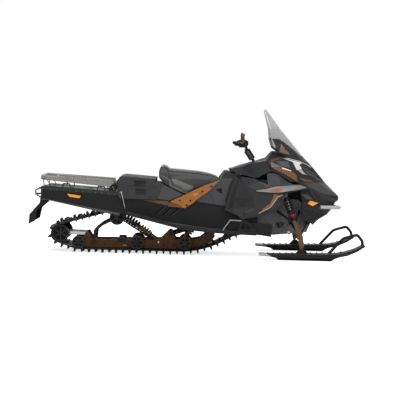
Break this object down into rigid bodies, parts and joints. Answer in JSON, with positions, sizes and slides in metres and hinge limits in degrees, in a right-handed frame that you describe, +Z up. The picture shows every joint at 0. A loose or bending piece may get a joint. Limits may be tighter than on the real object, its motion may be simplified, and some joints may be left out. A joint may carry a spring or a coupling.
{
  "type": "snowmobile",
  "caption": "Long-track utility snowmobile with a lidded cargo box, rear rack, tall screen, steered skis and a single wide track.",
  "frame": {"origin": "on the ground, under the middle of the machine's length and width", "axes": "+X towards the skis' tips, +Y to the rider's left, +Z up"},
  "size_m": [3.2229, 1.115, 1.421],
  "materials": {
    "tunnel_black": "satin",
    "board_black": "satin",
    "flap_rubber": "matte",
    "rack_silver": "satin",
    "black_metal": "satin",
    "lamp_red": "gloss",
    "marker_orange": "gloss",
    "track_rubber": "matte",
    "wheel_black": "satin",
    "rail_brown": "satin",
    "slider_black": "matte",
    "bright_metal": "polished",
    "shock_gold": "satin",
    "frame_grey": "matte",
    "shock_black": "satin",
    "spindle_brown": "satin",
    "ski_black": "satin",
    "grip_rubber": "matte",
    "box_grey": "matte",
    "seat_vinyl": "satin",
    "panel_grey": "satin",
    "brace_orange": "satin",
    "body_dark": "satin",
    "body_black": "satin",
    "lamp_glass": "gloss",
    "smoke_screen": "gloss",
    "engine_grey": "matte",
    "blade_silver": "satin"
  },
  "bodies": {
    "body": {"tunnel": "tunnel_black", "running_boards": "board_black", "snow_flap": "flap_rubber", "rear_rack": "rack_silver", "rack_brackets": "black_metal", "tie_down_loops": "black_metal", "tail_lamp": "lamp_red", "tow_hitch": "black_metal", "markers": "marker_orange", "track": "track_rubber", "track_wheels": "wheel_black", "rails": "rail_brown", "rail_sliders": "slider_black", "axle_adjusters": "bright_metal", "rear_arm": "black_metal", "front_arm": "black_metal", "rear_shock": "shock_gold", "centre_shock": "shock_gold", "drive_axle": "black_metal", "front_frame": "frame_grey", "lower_wishbones": "black_metal", "upper_wishbones": "black_metal", "front_shocks": "shock_black", "cargo_box": "box_grey", "seat": "seat_vinyl", "seat_base": "box_grey", "side_covers": "panel_grey", "side_braces": "brace_orange", "tank_covers": "panel_grey", "console": "body_dark", "knee_panels": "body_black", "lower_panels": "body_black", "side_panels": "body_dark", "hood": "body_dark", "headlamps": "lamp_glass", "nose": "body_black", "front_bumper": "bright_metal", "windshield": "smoke_screen", "windshield_trim": "body_black", "engine": "engine_grey", "rear_links": "black_metal", "rear_bumper": "black_metal", "toe_straps": "bright_metal", "toe_brackets": "black_metal", "vent_panels": "panel_grey", "lamp_trim": "blade_silver"},
    "steering": {"steering_post": "black_metal", "handlebar": "black_metal", "grips": "grip_rubber", "bar_controls": "black_metal"},
    "spindle_right": {"spindle_right": "spindle_brown"},
    "spindle_left": {"spindle_left": "spindle_brown"},
    "tie_rod_right": {"tie_rod_right": "bright_metal"},
    "tie_rod_left": {"tie_rod_left": "bright_metal"},
    "ski_right": {"ski_right": "ski_black", "ski_loop_right": "ski_black"},
    "ski_left": {"ski_left": "ski_black", "ski_loop_left": "ski_black"},
    "cargo_box_lid": {"cargo_box_lid": "box_grey"}
  },
  "joints": [
    {"name": "steering", "type": "hinge", "parent": "body", "child": "steering", "pos_m": [0.56, 0, 0.915], "axis": [-0.5592, 0, 0.829], "range_deg": [-35, 35]},
    {"name": "cargo_box_lid", "type": "hinge", "parent": "body", "child": "cargo_box_lid", "pos_m": [-0.575, 0.291, 0.664], "axis": [-1, 0, 0], "range_deg": [0, 100]},
    {"name": "spindle_right", "type": "hinge", "parent": "body", "child": "spindle_right", "pos_m": [1.003, -0.43, 0.223], "axis": [-0.3907, 0, 0.9205], "range_deg": [-28, 28]},
    {"name": "tie_rod_right", "type": "hinge", "parent": "spindle_right", "child": "tie_rod_right", "pos_m": [0.8935, -0.43, 0.26343], "axis": [-0.3907, 0, 0.9205], "range_deg": [-28, 28]},
    {"name": "ski_right", "type": "hinge", "parent": "spindle_right", "child": "ski_right", "pos_m": [1.022, -0.475, 0.092], "axis": [0, 1, 0], "range_deg": [-12, 12], "stiffness_Nm_per_rad": 60},
    {"name": "spindle_left", "type": "hinge", "parent": "body", "child": "spindle_left", "pos_m": [1.003, 0.43, 0.223], "axis": [-0.3907, 0, 0.9205], "range_deg": [-28, 28]},
    {"name": "tie_rod_left", "type": "hinge", "parent": "spindle_left", "child": "tie_rod_left", "pos_m": [0.8935, 0.43, 0.26343], "axis": [-0.3907, 0, 0.9205], "range_deg": [-28, 28]},
    {"name": "ski_left", "type": "hinge", "parent": "spindle_left", "child": "ski_left", "pos_m": [1.022, 0.475, 0.092], "axis": [0, 1, 0], "range_deg": [-12, 12], "stiffness_Nm_per_rad": 60}
  ],
  "couplings": [
    {"joint": "spindle_right", "follows": "steering", "ratio": 0.8},
    {"joint": "tie_rod_right", "follows": "steering", "ratio": -0.8},
    {"joint": "spindle_left", "follows": "steering", "ratio": 0.8},
    {"joint": "tie_rod_left", "follows": "steering", "ratio": -0.8}
  ]
}
